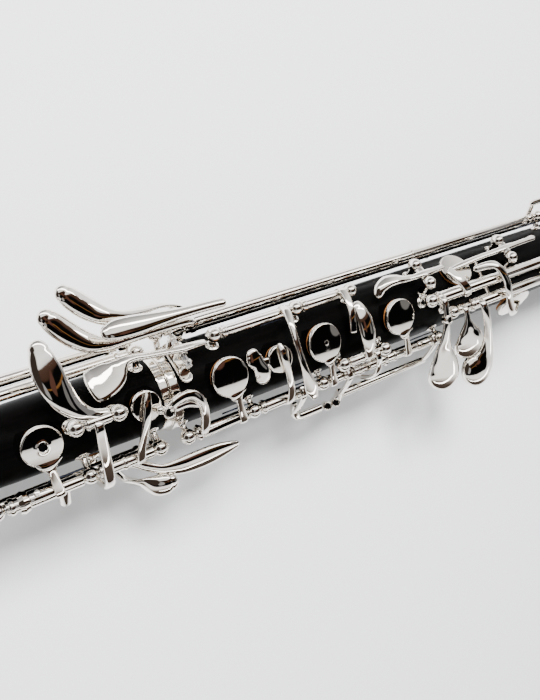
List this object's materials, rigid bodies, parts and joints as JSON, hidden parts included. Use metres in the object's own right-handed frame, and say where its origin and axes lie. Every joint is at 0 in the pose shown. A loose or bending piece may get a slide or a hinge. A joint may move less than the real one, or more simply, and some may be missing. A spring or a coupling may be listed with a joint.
{
  "type": "oboe",
  "caption": "Full-size oboe in three turned joints with ring-topped finger plates, side levers and spatula touches, lying keys-up.",
  "frame": {"origin": "centre of the reed socket's mouth, on the bore's axis", "axes": "+X down the bore to the bell, +Z to the front where the finger plates are, +Y to the side of the long side levers"},
  "size_m": [0.6, 0.0745, 0.047],
  "materials": {
    "blackwood": "oiled satin",
    "silver_plate": "mirror polished",
    "pad_cork": "matte",
    "cork": "matte",
    "steel": "polished",
    "blued_steel": "blued"
  },
  "bodies": {
    "body": {"upper_joint": "blackwood", "lower_joint": "blackwood", "bell": "blackwood", "tenon_corks": "cork", "top_ring": "silver_plate", "ferrules": "silver_plate", "bell_ring": "silver_plate", "reed_socket": "silver_plate", "thumb_rest": "silver_plate", "thumb_rest_screws": "silver_plate", "upper_posts": "silver_plate", "lower_posts": "silver_plate", "hinge_rods": "steel", "needle_springs": "blued_steel"},
    "octave_1": {"octave_key_1": "silver_plate", "octave_pad_1": "pad_cork"},
    "octave_2": {"octave_key_2": "silver_plate", "octave_pad_2": "pad_cork"},
    "half_hole": {"half_hole_key": "silver_plate", "half_hole_pad": "pad_cork"},
    "a": {"a_key": "silver_plate", "a_pad": "pad_cork"},
    "g": {"g_key": "silver_plate", "g_pad": "pad_cork"},
    "c_vent": {"c_vent_key": "silver_plate", "c_vent_pad": "pad_cork"},
    "g_sharp": {"g_sharp_key": "silver_plate", "g_sharp_pad": "pad_cork"},
    "trill_1": {"trill_key_1": "silver_plate", "trill_pad_1": "pad_cork"},
    "trill_2": {"trill_key_2": "silver_plate", "trill_pad_2": "pad_cork"},
    "f_sharp": {"f_sharp_key": "silver_plate", "f_sharp_pad": "pad_cork"},
    "g_vent": {"g_vent_key": "silver_plate", "g_vent_pad": "pad_cork"},
    "trill_lever": {"trill_lever": "silver_plate"},
    "finger_lever": {"finger_lever": "silver_plate"},
    "e": {"e_key": "silver_plate", "e_pad": "pad_cork"},
    "bridge": {"bridge_key": "silver_plate"},
    "f": {"f_key": "silver_plate", "f_pad": "pad_cork"},
    "d": {"d_key": "silver_plate", "d_pad": "pad_cork"},
    "resonance": {"resonance_lever": "silver_plate"},
    "e_flat_cup": {"e_flat_cup_key": "silver_plate", "e_flat_pad": "pad_cork"},
    "c": {"c_key": "silver_plate", "c_pad": "pad_cork"},
    "c_sharp": {"c_sharp_key": "silver_plate"},
    "e_flat": {"e_flat_key": "silver_plate"},
    "left_e_flat": {"left_e_flat_lever": "silver_plate"},
    "left_f": {"left_f_lever": "silver_plate"},
    "low_b_lever": {"low_b_lever": "silver_plate"},
    "low_b": {"low_b_key": "silver_plate", "low_b_pad": "pad_cork"},
    "low_b_flat_lever": {"low_b_flat_lever": "silver_plate"},
    "low_b_flat": {"low_b_flat_key": "silver_plate", "low_b_flat_pad": "pad_cork"}
  },
  "joints": [
    {"name": "octave_1_hinge", "type": "hinge", "parent": "body", "child": "octave_1", "pos_m": [0.164, 0.0178, 0.0038], "axis": [1, 0, 0], "range_deg": [-6, 0], "stiffness_Nm_per_rad": 0.02, "springref_deg": 28.65},
    {"name": "octave_2_hinge", "type": "hinge", "parent": "body", "child": "octave_2", "pos_m": [0.151, 0.015, 0.0082], "axis": [1, 0, 0], "range_deg": [-6, 0], "stiffness_Nm_per_rad": 0.02, "springref_deg": 28.65},
    {"name": "half_hole_hinge", "type": "hinge", "parent": "body", "child": "half_hole", "pos_m": [0.149, -0.014, 0.0098], "axis": [1, 0, 0], "range_deg": [-6, 0], "stiffness_Nm_per_rad": 0.02, "springref_deg": 28.65},
    {"name": "a_hinge", "type": "hinge", "parent": "body", "child": "a", "pos_m": [0.1755, -0.014, 0.0098], "axis": [1, 0, 0], "range_deg": [-6, 0], "stiffness_Nm_per_rad": 0.02, "springref_deg": 28.65},
    {"name": "g_hinge", "type": "hinge", "parent": "body", "child": "g", "pos_m": [0.203, -0.014, 0.0098], "axis": [1, 0, 0], "range_deg": [-6, 0], "stiffness_Nm_per_rad": 0.02, "springref_deg": 28.65},
    {"name": "c_vent_hinge", "type": "hinge", "parent": "body", "child": "c_vent", "pos_m": [0.22675, -0.014, 0.0098], "axis": [1, 0, 0], "range_deg": [-6, 0], "stiffness_Nm_per_rad": 0.02, "springref_deg": 28.65},
    {"name": "g_sharp_hinge", "type": "hinge", "parent": "body", "child": "g_sharp", "pos_m": [0.2199, 0.0022, 0.017], "axis": [1, 0, 0], "range_deg": [-6, 0], "stiffness_Nm_per_rad": 0.02, "springref_deg": 28.65},
    {"name": "trill_1_hinge", "type": "hinge", "parent": "body", "child": "trill_1", "pos_m": [0.178, -0.0142, 0.0051], "axis": [1, 0, 0], "range_deg": [0, 6], "stiffness_Nm_per_rad": 0.02, "springref_deg": -28.65},
    {"name": "trill_2_hinge", "type": "hinge", "parent": "body", "child": "trill_2", "pos_m": [0.168, -0.0088, -0.0126], "axis": [1, 0, 0], "range_deg": [0, 6], "stiffness_Nm_per_rad": 0.02, "springref_deg": -28.65},
    {"name": "f_sharp_hinge", "type": "hinge", "parent": "body", "child": "f_sharp", "pos_m": [0.2583, -0.014, 0.0098], "axis": [1, 0, 0], "range_deg": [-6, 0], "stiffness_Nm_per_rad": 0.02, "springref_deg": 28.65},
    {"name": "g_vent_hinge", "type": "hinge", "parent": "body", "child": "g_vent", "pos_m": [0.2794, -0.014, 0.0098], "axis": [1, 0, 0], "range_deg": [-6, 0], "stiffness_Nm_per_rad": 0.02, "springref_deg": 28.65},
    {"name": "trill_lever_hinge", "type": "hinge", "parent": "body", "child": "trill_lever", "pos_m": [0.2774, 0.0133, 0.0106], "axis": [1, 0, 0], "range_deg": [0, 4], "stiffness_Nm_per_rad": 0.02, "springref_deg": -28.65},
    {"name": "finger_lever_hinge", "type": "hinge", "parent": "body", "child": "finger_lever", "pos_m": [0.3042, 0.0133, 0.0106], "axis": [1, 0, 0], "range_deg": [0, 4], "stiffness_Nm_per_rad": 0.02, "springref_deg": -28.65},
    {"name": "e_hinge", "type": "hinge", "parent": "body", "child": "e", "pos_m": [0.3033, -0.014, 0.0098], "axis": [1, 0, 0], "range_deg": [-6, 0], "stiffness_Nm_per_rad": 0.02, "springref_deg": 28.65},
    {"name": "bridge_hinge", "type": "hinge", "parent": "body", "child": "bridge", "pos_m": [0.3185, -0.014, 0.0098], "axis": [1, 0, 0], "range_deg": [-6, 0], "stiffness_Nm_per_rad": 0.02, "springref_deg": 28.65},
    {"name": "f_hinge", "type": "hinge", "parent": "body", "child": "f", "pos_m": [0.3138, -0.009, 0.0145], "axis": [1, 0, 0], "range_deg": [-6, 0], "stiffness_Nm_per_rad": 0.02, "springref_deg": 28.65},
    {"name": "d_hinge", "type": "hinge", "parent": "body", "child": "d", "pos_m": [0.3261, -0.014, 0.0098], "axis": [1, 0, 0], "range_deg": [-6, 0], "stiffness_Nm_per_rad": 0.02, "springref_deg": 28.65},
    {"name": "resonance_hinge", "type": "hinge", "parent": "body", "child": "resonance", "pos_m": [0.3475, 0.01137, 0.01263], "axis": [0, 0.7431, -0.6691], "range_deg": [-3.6, 0], "stiffness_Nm_per_rad": 0.02, "springref_deg": 28.65},
    {"name": "e_flat_cup_hinge", "type": "hinge", "parent": "body", "child": "e_flat_cup", "pos_m": [0.3916, 0.0107, 0.01321], "axis": [0, 0.7771, -0.6293], "range_deg": [0, 4], "stiffness_Nm_per_rad": 0.02, "springref_deg": -28.65},
    {"name": "c_hinge", "type": "hinge", "parent": "body", "child": "c", "pos_m": [0.3886, 0.0022, 0.0176], "axis": [1, 0, 0], "range_deg": [0, 6], "stiffness_Nm_per_rad": 0.02, "springref_deg": -28.65},
    {"name": "c_sharp_hinge", "type": "hinge", "parent": "body", "child": "c_sharp", "pos_m": [0.3608, -0.0046, 0.0169], "axis": [1, 0, 0], "range_deg": [0, 5], "stiffness_Nm_per_rad": 0.02, "springref_deg": -28.65},
    {"name": "e_flat_hinge", "type": "hinge", "parent": "body", "child": "e_flat", "pos_m": [0.3878, -0.0046, 0.0169], "axis": [1, 0, 0], "range_deg": [0, 5], "stiffness_Nm_per_rad": 0.02, "springref_deg": -28.65},
    {"name": "left_e_flat_hinge", "type": "hinge", "parent": "body", "child": "left_e_flat", "pos_m": [0.2523, 0.0178, 0.0038], "axis": [1, 0, 0], "range_deg": [-5, 0], "stiffness_Nm_per_rad": 0.02, "springref_deg": 28.65},
    {"name": "left_f_hinge", "type": "hinge", "parent": "body", "child": "left_f", "pos_m": [0.2495, 0.01223, 0.01266], "axis": [0, 0.7193, -0.6947], "range_deg": [-3, 0], "stiffness_Nm_per_rad": 0.02, "springref_deg": 28.65},
    {"name": "low_b_lever_hinge", "type": "hinge", "parent": "body", "child": "low_b_lever", "pos_m": [0.3396, 0.0178, 0.0038], "axis": [1, 0, 0], "range_deg": [-8, 0], "stiffness_Nm_per_rad": 0.02, "springref_deg": 28.65},
    {"name": "low_b_hinge", "type": "hinge", "parent": "body", "child": "low_b", "pos_m": [0.441, 0.0022, 0.0176], "axis": [1, 0, 0], "range_deg": [-5, 0], "stiffness_Nm_per_rad": 0.02, "springref_deg": 28.65},
    {"name": "low_b_flat_lever_hinge", "type": "hinge", "parent": "body", "child": "low_b_flat_lever", "pos_m": [0.3683, 0.0152, -0.003], "axis": [1, 0, 0], "range_deg": [-8, 0], "stiffness_Nm_per_rad": 0.02, "springref_deg": 28.65},
    {"name": "low_b_flat_hinge", "type": "hinge", "parent": "body", "child": "low_b_flat", "pos_m": [0.519, 0.0005, 0.0205], "axis": [1, 0, 0], "range_deg": [-5, 0], "stiffness_Nm_per_rad": 0.02, "springref_deg": 28.65}
  ],
  "couplings": [
    {"joint": "c_vent_hinge", "follows": "f_sharp_hinge", "ratio": 1},
    {"joint": "g_vent_hinge", "follows": "e_hinge", "ratio": 1},
    {"joint": "bridge_hinge", "follows": "e_hinge", "ratio": 1},
    {"joint": "finger_lever_hinge", "follows": "trill_lever_hinge", "ratio": 1},
    {"joint": "resonance_hinge", "follows": "c_hinge", "ratio": -0.6},
    {"joint": "e_flat_cup_hinge", "follows": "e_flat_hinge", "ratio": 0.8},
    {"joint": "left_e_flat_hinge", "follows": "e_flat_hinge", "ratio": -1},
    {"joint": "left_f_hinge", "follows": "f_hinge", "ratio": 0.5},
    {"joint": "low_b_hinge", "follows": "low_b_lever_hinge", "ratio": 0.625},
    {"joint": "low_b_flat_hinge", "follows": "low_b_flat_lever_hinge", "ratio": 0.625}
  ]
}
